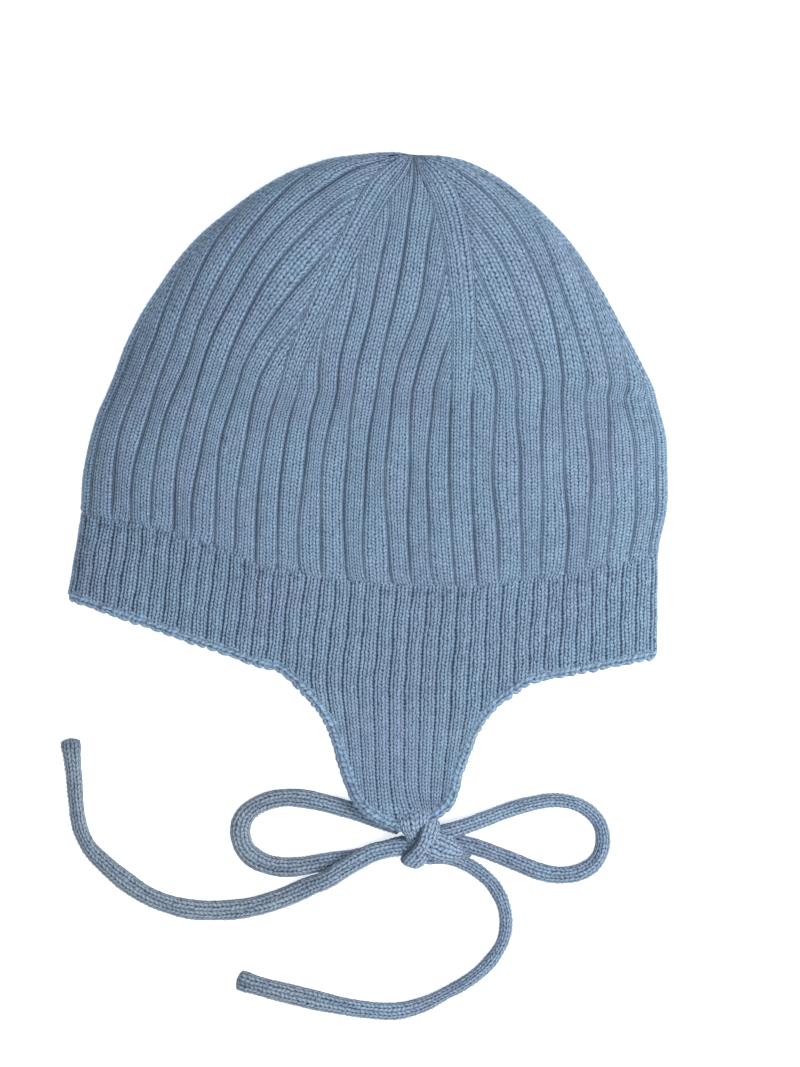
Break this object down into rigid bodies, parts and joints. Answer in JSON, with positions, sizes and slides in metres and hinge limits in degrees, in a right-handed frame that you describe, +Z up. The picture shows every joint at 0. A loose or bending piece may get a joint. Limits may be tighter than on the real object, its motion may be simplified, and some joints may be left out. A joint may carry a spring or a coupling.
{
  "type": "knitted baby bonnet",
  "caption": "Ribbed knit baby bonnet with ear flaps and tie cords, lying flat on its side with the ties in a bow.",
  "frame": {"origin": "on the surface that the bonnet lies on, under the middle of the knitted body's box, ties left out", "axes": "+X from the front (forehead) to the back of the head, +Y from the ear flaps to the top of the crown, +Z up from the surface, through the bonnet from its lower to its upper side"},
  "size_m": [0.1995, 0.2847, 0.026],
  "materials": {
    "yarn": "dusty blue fine knit yarn, matt, wide ribs",
    "fine_yarn": "the same yarn in narrow ribs",
    "edge_yarn": "the same yarn, a thick chain of cast-off stitches",
    "tie_yarn": "the same yarn, knitted cords"
  },
  "bodies": {
    "root": {"crown": "yarn", "band": "fine_yarn", "ear_flap_upper": "fine_yarn", "ear_flap_under": "fine_yarn", "cast_off_edge": "edge_yarn", "first_tie_loop": "tie_yarn", "first_tie_tail": "tie_yarn", "second_tie_loop": "tie_yarn", "second_tie_tail": "tie_yarn", "tie_knot": "tie_yarn"}
  },
  "joints": []
}
